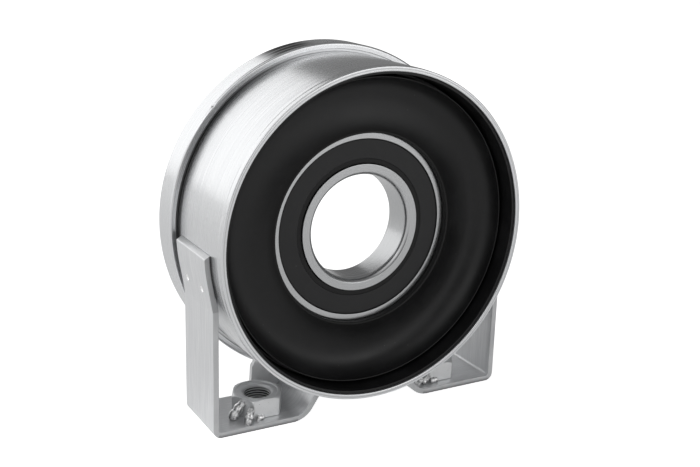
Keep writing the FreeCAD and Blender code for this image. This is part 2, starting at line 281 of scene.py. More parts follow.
def smooth_noise(points: np.ndarray, size: float, seed: int) -> np.ndarray:
    """Soft random height at each point: the sum of twelve sine waves of random direction.

    Each wave is sin(k . p + phase), with a wavelength between one and three times the size.

    Args:
        points: where the height is wanted, in millimetres.
        size: shortest wavelength in millimetres.
        seed: seed of the random draws.

    Returns:
        Heights between about -1 and 1.
    """
    draw = np.random.default_rng(seed)
    axes = draw.normal(size=(12, 3))
    axes *= (2 * np.pi / (size * draw.uniform(1.0, 3.0, 12)) / np.linalg.norm(axes, axis=1))[:, None]
    return np.sin(points @ axes.T + draw.uniform(0, 2 * np.pi, 12)).sum(axis=1) / 5.0


# Finishes


def linear(code: str) -> tuple[float, float, float, float]:
    """Linear colour of an sRGB hex code such as #1C1C1D."""
    part = np.array([int(code[i:i + 2], 16) for i in (1, 3, 5)]) / 255.0
    part = np.where(part <= 0.04045, part / 12.92, ((part + 0.055) / 1.055) ** 2.4)
    return (*part.tolist(), 1.0)


def add_node(tree: bpy.types.NodeTree, kind: str, output: str, values: dict[Any, Any] | None = None,
             links: dict[Any, Any] | None = None, **settings: Any) -> Socket:
    """Add a node with its settings, the values of its sockets and its links.

    Args:
        tree: the node tree.
        kind: the node's type name without its ShaderNode.
        output: the output that is wanted.
        values: numbers or colours of input sockets.
        links: output sockets that feed input sockets.
        **settings: attributes of the node.

    Returns:
        The wanted output of the new node.
    """
    node = tree.nodes.new("ShaderNode" + kind)
    for key, value in settings.items():
        setattr(node, key, value)
    for key, value in (values or {}).items():
        node.inputs[key].default_value = value
    for key, socket in (links or {}).items():
        tree.links.new(socket, node.inputs[key])
    return node.outputs[output]


@dataclass(frozen=True)
class Painter:
    """The node tree of one material, with the patterns that finishes are painted in."""

    tree: bpy.types.NodeTree
    shader: bpy.types.Node
    place: Socket

    def add(self, kind: str, output: str, values: dict[Any, Any] | None = None,
            links: dict[Any, Any] | None = None, **settings: Any) -> Socket:
        """Add a node to this material's tree."""
        return add_node(self.tree, kind, output, values, links, **settings)

    def noise(self, size: float, detail: float, roughness: float = 0.5,
              place: Socket | None = None) -> Socket:
        """Noise whose largest features are about the size."""
        return self.add("TexNoise", "Fac",
                        {"Scale": 1 / (size * MM), "Detail": detail, "Roughness": roughness},
                        {"Vector": self.place if place is None else place})

    def hoops(self) -> tuple[Socket, Socket]:
        """The place laid flat on the face, and the distance from the shaft plus Y.

        The second counts circles round the shaft on barrels and faces alike.
        """
        flat = self.add("Mapping", "Vector", {"Scale": (1.0, 0.0, 1.0)}, {"Vector": self.place})
        radius = self.add("VectorMath", "Value", None, {0: flat}, operation="LENGTH")
        along = self.add("SeparateXYZ", "Y", None, {"Vector": self.place})
        return flat, self.add("Math", "Value", None, {0: radius, 1: along}, operation="ADD")

    def spread(self, value: Socket, low: float, high: float, first: float = 0.0, last: float = 1.0,
               soft: bool = False) -> Socket:
        """The value stretched so that low gives first and high gives last, and held beyond."""
        return self.add("MapRange", "Result",
                        {"From Min": low, "From Max": high, "To Min": first, "To Max": last},
                        {"Value": value}, interpolation_type="SMOOTHSTEP" if soft else "LINEAR")

    def blend(self, share: Socket, first: str | Socket, last: str) -> Socket:
        """The colour between the first and the last at the share."""
        values, links = {"B": linear(last)}, {"Factor": share}
        if isinstance(first, str):
            values["A"] = linear(first)
        else:
            links["A"] = first
        return self.add("Mix", "Result", values, links, data_type="RGBA")

    def bump(self, height: Socket, size: float, strength: float = 1.0,
             under: Socket | None = None) -> Socket:
        """The normal of a surface raised by the height, on top of the one under it."""
        links = {"Height": height} | ({} if under is None else {"Normal": under})
        return self.add("Bump", "Normal", {"Strength": strength, "Distance": size * MM}, links)

    def feed(self, links: dict[str, Socket]) -> None:
        """Link finished patterns to the shader."""
        for key, socket in links.items():
            self.tree.links.new(socket, self.shader.inputs[key])


@dataclass(frozen=True)
class Finish:
    """A material named for the real one, with its typical values.

    Each subclass adds its pattern in paint(). Sizes of patterns are in millimetres.
    """

    name: str
    colour: str
    roughness: float
    metallic: float = 0.0
    # Colour and roughness of dirt with painted shade, then of a pressed polish with a painted highlight
    dirt_and_shade_colour: str = "#242423"
    dirt_and_shade_roughness: float = 0.6
    burnish_colour: str = "#FBFBFB"
    burnish_roughness: float = 0.14
    ior: float = 1.5

    def build(self) -> bpy.types.Material:
        """Make the material and hand its tree to paint()."""
        material = bpy.data.materials.new(self.name)
        material.use_nodes = True
        tree = material.node_tree
        shader = tree.nodes["Principled BSDF"]
        for key, value in (("Base Color", linear(self.colour)), ("Roughness", self.roughness),
                           ("Metallic", self.metallic), ("IOR", self.ior)):
            shader.inputs[key].default_value = value
        self.paint(Painter(tree, shader, add_node(tree, "TexCoord", "Object")))
        return material

    def paint(self, on: Painter) -> None:
        """Add the pattern of the finish; the plain one has none."""

    def gloss(self, on: Painter, pattern: Socket, less: float, more: float) -> Socket:
        """Roughness that goes by the pattern from a little less to a little more."""
        return on.spread(pattern, 0.3, 0.7, self.roughness - less, self.roughness + more)

    def settle(self, on: Painter, colour: Socket, dull: Socket) -> None:
        """Link colour and roughness: darker and duller where the mesh stores dirt and painted
        shade, and smoother and lighter where it stores a pressed polish and a painted highlight."""
        for name, tint, gloss in (("dirt_and_shade", self.dirt_and_shade_colour, self.dirt_and_shade_roughness),
                                  ("burnish", self.burnish_colour, self.burnish_roughness)):
            amount = on.add("Attribute", "Fac", attribute_name=name)
            colour = on.blend(amount, colour, tint)
            dull = on.add("Mix", "Result", {"B": gloss}, {"Factor": amount, "A": dull})
        on.feed({"Base Color": colour, "Roughness": dull})


@dataclass(frozen=True)
class RolledZinc(Finish):
    """Zinc-plated rolled strip: bright, with fine streaks along the strip and a faint waviness.

    The rolls leave fine lines along the strip, so the streaks are drawn out in X and Z and
    short along Y. The real lines are about 0.1 mm apart; they are drawn wider, so that they
    show.
    """

    streak_colour: str = "#C4C5C7"
    line_pitch: float = 0.5
    line_height: float = 0.003
    wave_size: float = 45.0
    wave_height: float = 0.01

    def across(self, on: Painter) -> Socket:
        """Coordinates that change quickly across the lines and slowly along them."""
        return on.add("Mapping", "Vector", {"Scale": (0.02, 1.0, 0.02)}, {"Vector": on.place})

    def paint(self, on: Painter) -> None:
        """Lines in colour, gloss and bump, and a soft waviness."""
        lines = on.noise(self.line_pitch, 3.0, 0.6, self.across(on))
        colour = on.blend(on.spread(lines, 0.35, 0.65), self.colour, self.streak_colour)
        self.settle(on, colour, self.gloss(on, lines, 0.04, 0.06))
        waves = on.bump(on.noise(self.wave_size, 1.0), self.wave_height)
        on.feed({"Normal": on.bump(lines, self.line_height, under=waves)})


@dataclass(frozen=True)
class TurnedZinc(RolledZinc):
    """Zinc-plated sheet rolled and turned into a drum: its lines are hoops round the shaft."""

    def across(self, on: Painter) -> Socket:
        """Distance from the shaft plus Y across the lines, and X and Z drawn out along them."""
        flat, count = on.hoops()
        hoop = on.add("CombineXYZ", "Vector", None, {"Y": count})
        long = on.add("VectorMath", "Vector", {1: (0.012, 0.0, 0.012)}, {0: flat}, operation="MULTIPLY")
        return on.add("VectorMath", "Vector", None, {0: hoop, 1: long}, operation="ADD")


@dataclass(frozen=True)
class SatinZinc(Finish):
    """Zinc-plated flat steel: satin, with a fine grain and a faint cloudiness."""

    other_colour: str = "#C3C4C6"
    grain: float = 0.9
    cloud: float = 14.0
    grain_height: float = 0.02

    def paint(self, on: Painter) -> None:
        """Grain in the bump, clouds in the colour and the gloss."""
        grain, cloud = on.noise(self.grain, 4.0, 0.65), on.noise(self.cloud, 5.0, 0.6)
        colour = on.blend(on.spread(cloud, 0.38, 0.66, soft=True), self.colour, self.other_colour)
        self.settle(on, colour, self.gloss(on, grain, 0.03, 0.04))
        on.feed({"Normal": on.bump(grain, self.grain_height, 0.5)})


@dataclass(frozen=True)
class GroundSteel(Finish):
    """Ground bearing steel: circles left by the wheel, one about every 0.3 mm as drawn."""

    line_pitch: float = 0.3
    line_height: float = 0.008

    def paint(self, on: Painter) -> None:
        """Grinding circles by the distance from the shaft and by Y, in gloss and bump."""
        lines = on.add("TexNoise", "Fac",
                       {"Scale": 1 / (self.line_pitch * MM), "Detail": 2.0, "Roughness": 0.5},
                       {"W": on.hoops()[1]}, noise_dimensions="1D")
        on.feed({"Roughness": self.gloss(on, lines, 0.04, 0.05),
                 "Normal": on.bump(lines, self.line_height)})


@dataclass(frozen=True)
class MouldedRubber(Finish):
    """Moulded rubber: near black, satin, with a faint bloom and a few grey specks of dust."""

    bloom_colour: str = "#1B1B1C"
    dust_colour: str = "#4A4A4B"
    bloom: float = 22.0
    grain: float = 1.3
    grain_height: float = 0.03
    dust: float = 7.0
    # Colour of dirt and of painted shade on the rubber
    dirt_and_shade_colour: str = "#060606"
    ior: float = 1.40

    def paint(self, on: Painter) -> None:
        """Bloom and dust in the colour, mould grain in the bump."""
        bloom = on.noise(self.bloom, 5.0, 0.6)
        ground = on.blend(on.spread(bloom, 0.4, 0.75, soft=True), self.colour, self.bloom_colour)
        dots = on.add("TexVoronoi", "Distance", {"Scale": 1 / (self.dust * MM)}, {"Vector": on.place})
        colour = on.blend(on.spread(dots, 0.045, 0.025, 0.0, 0.8), ground, self.dust_colour)
        self.settle(on, colour, self.gloss(on, bloom, 0.05, 0.06))
        on.feed({"Normal": on.bump(on.noise(self.grain, 4.0, 0.6), self.grain_height, 0.5)})


@dataclass(frozen=True)
class WeldBead(Finish):
    """Weld metal, plated over: bright and uneven, darker in its hollows."""

    dark_colour: str = "#858687"
    lump: float = 2.2
    lump_height: float = 0.07

    def paint(self, on: Painter) -> None:
        """Lumps in the bump and burnt patches in the colour."""
        lumps = on.noise(self.lump, 4.0, 0.6)
        colour = on.blend(on.spread(lumps, 0.35, 0.62, soft=True), self.dark_colour, self.colour)
        on.feed({"Base Color": colour, "Normal": on.bump(lumps, self.lump_height, 0.6)})


class Finishes:
    """Every material of the part, built once."""

    def __init__(self) -> None:
        """Build the materials."""
        self.drum = TurnedZinc("zinc_plated_rolled_drum", "#DCDDDE", 0.26, 1.0, streak_colour="#D6D7D9",
                               line_pitch=0.6, line_height=0.0015, wave_height=0.03).build()
        self.strap = RolledZinc("zinc_plated_rolled_strap", "#E3E4E5", 0.34, 0.6, streak_colour="#D3D4D6",
                                dirt_and_shade_colour="#3C3C3C").build()
        self.nut = SatinZinc("zinc_plated_nut_steel", "#E0E1E2", 0.30, 0.45, other_colour="#DCDDDE",
                             grain=0.7, cloud=5.0, grain_height=0.002).build()
        # The gusset's zinc is a lighter, less metallic copy of the strap's, painted light for the shaded foot
        self.lit_plate = RolledZinc("zinc_plate_painted_lighter", "#F4F4F4", 0.40, 0.25,
                                streak_colour="#E8E9EA").build()
        self.weld = WeldBead("plated_weld_metal", "#F6F6F6", 0.30, 0.65).build()
        self.ring = GroundSteel("ground_bearing_steel", "#B9BABB", 0.26, 1.0).build()
        self.ball = Finish("polished_ball_steel", "#D5D6D8", 0.06, 1.0).build()
        self.cage = SatinZinc("pressed_cage_steel", "#B9BABC", 0.32, 1.0, grain=0.5, cloud=6.0,
                              grain_height=0.008).build()
        self.rubber = MouldedRubber("moulded_natural_rubber", "#101011", 0.42).build()
        self.seal = MouldedRubber("moulded_nitrile_rubber", "#1E1E1F", 0.50, bloom_colour="#242425",
                                  bloom=9.0, grain=0.8, grain_height=0.015, dust=11.0).build()


# Placing pieces


def add_piece(mesh: Mesh, material: bpy.types.Material, body: Body, node: str) -> None:
    """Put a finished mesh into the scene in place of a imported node.

    Args:
        mesh: the mesh, in place and in metres.
        material: its finish.
        body: the body that it rides on.
        node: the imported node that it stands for.
    """
    piece = bpy.data.objects.new(mesh.name, mesh)
    bpy.context.scene.collection.objects.link(piece)
    mesh.materials.append(material)
    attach(piece, body.value)
    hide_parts(node)
    log.info("%s: %d faces, stands for %s", piece.name, len(mesh.polygons), node)


def dress_node(name: str, material: bpy.types.Material) -> None:
    """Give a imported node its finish; its shape stays."""
    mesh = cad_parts[name].data
    mesh.materials.clear()
    mesh.materials.append(material)
    log.info("%s: packed node, dressed", name)


# Bearing


@dataclass
class Bearing:
    """The sealed ball bearing: two rings, two seals, ten balls and their cage."""

    bore_r: float = 30.0
    race_r: float = 55.0
    half_width: float = 11.0
    ring_corner: float = 1.5
    bore_corner_radial: float = 2.1
    bore_corner_axial: float = 3.5
    land_r: float = 36.4
    land_end: float = 9.4
    inner_shoulder_r: float = 37.6
    outer_shoulder_r: float = 47.4
    shoulder_slope: float = 0.8
    inner_groove_r: float = 34.54
    outer_groove_r: float = 50.46
    groove_reach: float = 6.0
    mouth_r: float = 50.6
    snap_r: float = 51.4
    snap_out: float = 10.55
    snap_in: float = 9.45
    seal_lip_r: float = 36.75
    seal_step_r: float = 39.55
    seal_shelf_r: float = 50.5
    seal_edge_r: float = 51.35
    seal_out: float = 10.5
    seal_in: float = 9.5
    seal_lip: float = 9.9
    seal_shelf: float = 10.0
    pitch_r: float = 42.5
    ball_r: float = 7.9375
    ball_count: int = 10
    ball_rows: int = 25
    ball_columns: int = 48
    columns: int = 256

    def groove(self, bottom: float, shoulder: float) -> np.ndarray:
        """Ball groove from the front shoulder to the rear one, an arc through its floor."""
        depth = shoulder - bottom
        radius = (self.groove_reach ** 2 + depth ** 2) / (2 * abs(depth))
        spread = math.degrees(math.asin(self.groove_reach / radius))
        points = arc((bottom + math.copysign(radius, depth), 0.0), radius, -spread, spread, 21)
        if depth > 0:
            points[:, 0] = 2 * (bottom + radius) - points[:, 0]
        return points

    def bore_corner(self) -> np.ndarray:
        """Long round from the bore to the front face.

        It is a circle that touches the bore. With the reaches r along the radius and a along
        the shaft its radius is (r^2 + a^2) / (2 r), and it turns through asin(a / radius).
        """
        radial, axial = self.bore_corner_radial, self.bore_corner_axial
        radius = (radial ** 2 + axial ** 2) / (2 * radial)
        turn = math.degrees(math.asin(axial / radius))
        return arc((self.bore_r + radius, axial - self.half_width), radius, 180.0, 180.0 + turn, 15)

    def inner_profile(self) -> np.ndarray:
        """Profile of the inner ring, with the bore on the left."""
        corner = [(u, v, 0.0) for u, v in self.bore_corner()]
        corner[-1] = (*corner[-1][:2], 0.15)
        points = with_mirror([*corner, (self.land_r, -self.half_width, 0.3),
                              (self.land_r, -self.land_end, 0.08),
                              (self.inner_shoulder_r, self.shoulder_slope - self.land_end, 0.1)])
        split = int(np.argmax((points[:, 0] > self.inner_shoulder_r - 0.01) & (points[:, 1] > 0)))
        groove = self.groove(self.inner_groove_r, self.inner_shoulder_r)
        return np.concatenate([points[:split], groove, points[split:]])

    def outer_profile(self) -> np.ndarray:
        """Profile of the outer ring, with the ball groove on the left."""
        points = with_mirror([(self.race_r, self.half_width, self.ring_corner),
                              (self.mouth_r, self.half_width, 0.2), (self.mouth_r, self.snap_out, 0.05),
                              (self.snap_r, self.snap_out, 0.05), (self.snap_r, self.snap_in, 0.05),
                              (self.outer_shoulder_r, self.snap_in, 0.1)])
        on_shoulder = np.abs(points[:, 0] - self.outer_shoulder_r) < 0.01
        split = int(np.argmax(on_shoulder & (points[:, 1] < 0)))
        groove = self.groove(self.outer_groove_r, self.outer_shoulder_r)[::-1]
        return np.concatenate([points[:split], groove, points[split:]])

    def seal_profile(self) -> np.ndarray:
        """Profile of the front seal: a flat disc with a moulded step down to its thin lip."""
        return filleted([(self.seal_lip_r, -self.seal_lip, 0.1),
                         (self.seal_step_r - 0.35, -self.seal_lip, 0.15),
                         (self.seal_step_r, -self.seal_out, 0.3),
                         (self.seal_shelf_r - 0.6, -self.seal_out, 0.25),
                         (self.seal_shelf_r, -self.seal_shelf, 0.1),
                         (self.seal_edge_r, -self.seal_shelf, 0.05),
                         (self.seal_edge_r, -self.seal_in, 0.05), (self.seal_lip_r, -self.seal_in, 0.05)])

    def ball_mesh(self, number: int) -> Mesh:
        """One ball: latitude and longitude circles, with both poles closed by merging."""
        turn = 2 * math.pi * number / self.ball_count
        centre = np.array([self.pitch_r * math.sin(turn), 0.0, self.pitch_r * math.cos(turn)])
        polar, around = np.meshgrid(np.linspace(0, np.pi, self.ball_rows),
                                    np.linspace(0, 2 * np.pi, self.ball_columns, endpoint=False),
                                    indexing="ij")
        shape = np.stack([np.sin(polar) * np.cos(around), np.cos(polar), np.sin(polar) * np.sin(around)],
                         axis=-1)
        return make_mesh("steel_ball_%02d" % (number + 1), centre + self.ball_r * shape.reshape(-1, 3),
                         [grid_faces(self.ball_rows, self.ball_columns, False)])

    def build(self, finishes: Finishes) -> None:
        """Make and dress the bearing."""
        angles = full_circle(self.columns)
        rings = [("ground_inner_ring", self.inner_profile(), Body.INNER_RING, "inner_race"),
                 ("ground_outer_ring", self.outer_profile(), Body.HOUSING, "outer_race")]
        for name, profile, body, node in rings:
            add_piece(make_mesh(name, *turned(profile, angles)), finishes.ring, body, node)
        for end, side in (("front", 1.0), ("rear", -1.0)):
            mesh = make_mesh("moulded_%s_seal" % end, *turned(self.seal_profile() * (1.0, side), angles))
            # The seal is darker and duller inside its step, towards the lip
            inwards = self.seal_step_r - 0.1 - round_shaft(mesh_points(mesh))[0]
            mark(mesh, "dirt_and_shade", 0.85 * np.clip(inwards / 0.4, 0.0, 1.0))
            add_piece(mesh, finishes.seal, Body.HOUSING, "%s_seal" % end)
        for number in range(self.ball_count):
            add_piece(self.ball_mesh(number), finishes.ball, Body.BALL_SET,
                      "ball_%02d" % (number + 1))
        for node in ("cage_front", "cage_rear", "cage_rivets"):
            dress_node(node, finishes.cage)


# Cushion


@dataclass
class Cushion:
    """The moulded rubber cushion between the bearing and the drum."""

    seat_r: float = 55.05
    seat_end: float = 11.05
    lip_r: float = 54.2
    lip_top: float = 14.9
    lip_round: float = 0.8
    wall_round: float = 13.5
    ridge_r: float = 85.5
    ridge_top: float = 23.0
    ridge_width: float = 0.8
    groove_end: float = 14.0
    lining_r: float = 88.55
    lining_end: float = 31.6
    outer_r: float = 89.95
    columns: int = 288

    def trough(self) -> list[Corner]:
        """Points over the lip, down the wide slope and up the wall to the ridge.

        The wall is a quarter circle that stands square on the ridge and is level at the valley.
        The slope is a circle that is level there too and touches the lip's round from outside,
        so with the steps d and h from the valley to the lip's centre its radius is
        (d^2 + h^2 - lip^2) / (2 (h + lip)).
        """
        lip = (self.lip_r + self.lip_round, self.lip_round - self.lip_top)
        valley_r, valley = self.ridge_r - self.wall_round, self.wall_round - self.ridge_top
        run, rise = valley_r - lip[0], valley - lip[1]
        radius = (run ** 2 + rise ** 2 - self.lip_round ** 2) / (2 * (rise + self.lip_round))
        meeting = math.degrees(math.atan2(radius - rise, run))
        points = np.concatenate([arc(lip, self.lip_round, 180.0, 360.0 - meeting, 12),
                                 arc((valley_r, valley - radius), radius, 180.0 - meeting, 90.0, 30)[1:],
                                 arc((valley_r, -self.ridge_top), self.wall_round, 90.0, 2.5, 24)[1:]])
        return [(u, v, 0.0) for u, v in points]

    def profile(self) -> np.ndarray:
        """Closed profile: the front half, then its mirror image at the rear."""
        ridge_end = self.ridge_r + self.ridge_width
        return with_mirror([(self.seat_r, -self.seat_end, 0.1), (self.lip_r, -self.seat_end, 0.15),
                            *self.trough(), (self.ridge_r, -self.ridge_top, 0.3),
                            (ridge_end, -self.ridge_top, 0.3), (ridge_end, -self.groove_end, 0.7),
                            (self.lining_r, -self.groove_end, 0.7), (self.lining_r, -self.lining_end, 0.3),
                            (self.outer_r, -self.lining_end, 0.15)])

    def build(self, finishes: Finishes) -> None:
        """Make and dress the cushion, with painted shade round the bearing."""
        mesh = make_mesh("moulded_cushion", *turned(self.profile(), full_circle(self.columns)))
        # Painted shade on the lip round the bearing, darkest at its inner edge
        outwards = round_shaft(mesh_points(mesh))[0] - self.lip_r
        mark(mesh, "dirt_and_shade", 0.9 * np.clip(1.6 - outwards / 3.0, 0.0, 1.0))
        add_piece(mesh, finishes.rubber, Body.HOUSING, "rubber_cushion")


# Drum


@dataclass(frozen=True)
class Nick:
    """A small dent: where it is, how far it reaches and how deep it is."""

    degrees: float
    along: float
    width: float
    depth: float


@dataclass
class Drum:
    """The steel drum: front shell and crimped rear cover."""

    inner_r: float = 90.0
    shell_r: float = 93.1
    front: float = -33.4
    rear: float = 32.1
    land_r: float = 92.9
    land_end: float = -29.4
    flange_r: float = 95.95
    flange_front: float = 29.0
    rim_round: float = 0.6
    rim_ring_r: float = 91.5
    cover_front: float = 26.75
    cover_rear: float = 44.35
    cover_r: float = 98.2
    cover_inner_r: float = 96.0
    cover_mouth_r: float = 93.15
    crevice_r: float = 94.7
    crevice_depth: float = 1.1
    band_steps: int = 31
    cover_sheet: float = 2.2
    cover_front_round: float = 1.4
    cover_rear_round: float = 1.2
    opening_r: float = 82.0
    patch_angle: float = 104.3
    patch_spread: float = 8.0
    patch_dark: float = 0.97
    scratches: tuple[tuple[float, float], ...] = ((31.6, 0.10), (37.4, -0.05))
    scratch_middle: float = 104.0
    scratch_width: float = 0.4
    scratch_clean: float = 0.75
    columns: int = 320
    rim_nicks: tuple[Nick, ...] = (Nick(143.4, -33.4, 0.9, 0.6), Nick(126.5, -33.4, 0.6, 0.3),
                                   Nick(120.0, -33.4, 0.5, 0.25), Nick(186.0, -33.4, 0.8, 0.3),
                                   Nick(39.0, -33.4, 0.7, 0.25))
    cover_nicks: tuple[Nick, ...] = (Nick(137.3, 27.6, 0.8, 0.5),)

    def shell_profile(self) -> np.ndarray:
        """Profile of the front shell: rounded rim, turned land and rear flange."""
        ring = [(self.rim_ring_r + step, self.front, 0.0) for step in (-0.4, -0.2, 0.2, 0.4)]
        return filleted([(self.inner_r, self.front, self.rim_round), *ring,
                         (self.land_r, self.front, self.rim_round),
                         (self.land_r, self.land_end - 0.3, 0.15), (self.shell_r, self.land_end + 0.1, 0.3),
                         (self.shell_r, self.cover_front, 0.0), (self.shell_r, self.cover_front + 0.3, 0.0),
                         (self.shell_r, self.flange_front, 0.2), (self.flange_r, self.flange_front, 0.3),
                         (self.flange_r, self.rear, 0.3), (self.inner_r, self.rear, 0.3)])

    def cover_profile(self) -> np.ndarray:
        """Profile of the rear cover: folded front edge with a crevice inside it, band and rear lip."""
        inside = self.cover_rear - self.cover_sheet
        fold = self.cover_front + self.cover_sheet
        hollow = self.cover_front + self.crevice_depth
        band = np.linspace(self.cover_front + self.cover_front_round + 0.4,
                           self.cover_rear - self.cover_rear_round - 0.4, self.band_steps)
        return filleted([(self.cover_mouth_r, hollow, 0.1), (self.crevice_r, hollow, 0.2),
                         (self.crevice_r, self.cover_front, 0.12),
                         (self.cover_r, self.cover_front, self.cover_front_round),
                         *[(self.cover_r, y, 0.0) for y in band],
                         (self.cover_r, self.cover_rear, self.cover_rear_round),
                         (self.opening_r, self.cover_rear, 0.4), (self.opening_r, inside, 0.4),
                         (self.cover_inner_r, inside, 0.3), (self.cover_inner_r, fold, 0.3),
                         (self.cover_mouth_r, fold, 0.25)])

    @staticmethod
    def dented(points: np.ndarray, nicks: Sequence[Nick]) -> np.ndarray:
        """Push the surface in at each nick.

        The push is depth * exp(-(d / width)^2), where d is the distance from the nick, and it
        acts towards the shaft and away from the nearer end.
        """
        radius, angle = round_shaft(points)
        inward = -points[:, [0, 2]] / radius[:, None]
        moved = points.copy()
        for nick in nicks:
            across = np.radians((angle - nick.degrees + 180) % 360 - 180) * radius
            distance = across ** 2 + (points[:, 1] - nick.along) ** 2 + (radius - radius.max()) ** 2
            push = nick.depth * np.exp(-distance / nick.width ** 2)
            moved[:, [0, 2]] += inward * push[:, None]
            moved[:, 1] += push
        return moved

    def shell_dirt_and_shade(self, points: np.ndarray) -> np.ndarray:
        """Dirt and painted shade in the crevice at the cover, and a dull ring on the rim's face."""
        radius, angle = round_shaft(points)
        # Painted shade and dirt in the crevice under the cover's fold
        crevice = (points[:, 1] > self.cover_front + 0.2) & (radius > self.shell_r - 0.2)
        face = (points[:, 1] < self.front + 0.05) & (np.abs(radius - self.rim_ring_r) < 0.3)
        return self.crevice_dark(angle) * crevice + 0.3 * face

    def cover_dirt_and_shade(self, points: np.ndarray) -> np.ndarray:
        """Dirt and painted shade in the crevice, and a painted dark reflection on top of the band.

        The patch fades as exp(-((angle - middle) / spread)^4) round the shaft, with two bright
        scratches across it, each exp(-((y - line) / width)^2) along the shaft. A scratch's
        line is at its place, plus its slope times the angle from the middle.
        """
        radius, angle = round_shaft(points)
        y = points[:, 1]
        crevice = (radius < self.crevice_r + 0.1) & (y < self.cover_front + 3.0)
        band = (y > self.cover_front + 1.5) & (y < self.cover_rear - 0.5)
        # Painted dark reflection on top of the band, crossed by bright scratches
        patch = self.patch_dark * np.exp(-((angle - self.patch_angle) / self.patch_spread) ** 4) * band
        for place, slope in self.scratches:
            gap = y - place - slope * (angle - self.scratch_middle)
            patch *= 1 - self.scratch_clean * np.exp(-(gap / self.scratch_width) ** 2)
        return np.maximum(self.crevice_dark(angle) * crevice, patch)

    @staticmethod
    def crevice_dark(angle: np.ndarray) -> np.ndarray:
        """Darkness of the folded edge, dirt and painted shade: much round the left, where the shade falls,
        little on top and round the bottom.
        """
        angle = angle % 360.0
        return 0.10 + 0.36 * (np.tanh((angle - 116.0) / 14.0) - np.tanh((angle - 205.0) / 8.0))

    def build(self, finishes: Finishes) -> None:
        """Make and dress the drum."""
        for name, profile, nicks, darkening, node in (
                ("rolled_front_shell", self.shell_profile(), self.rim_nicks, self.shell_dirt_and_shade,
                 "front_shell"),
                ("crimped_rear_cover", self.cover_profile(), self.cover_nicks, self.cover_dirt_and_shade,
                 "rear_cover")):
            angles = full_circle(self.columns, [nick.degrees for nick in nicks])
            points, faces = turned(profile, angles)
            mesh = make_mesh(name, self.dented(points, nicks), faces)
            mark(mesh, "dirt_and_shade", darkening(mesh_points(mesh)))
            add_piece(mesh, finishes.drum, Body.HOUSING, node)


# Feet


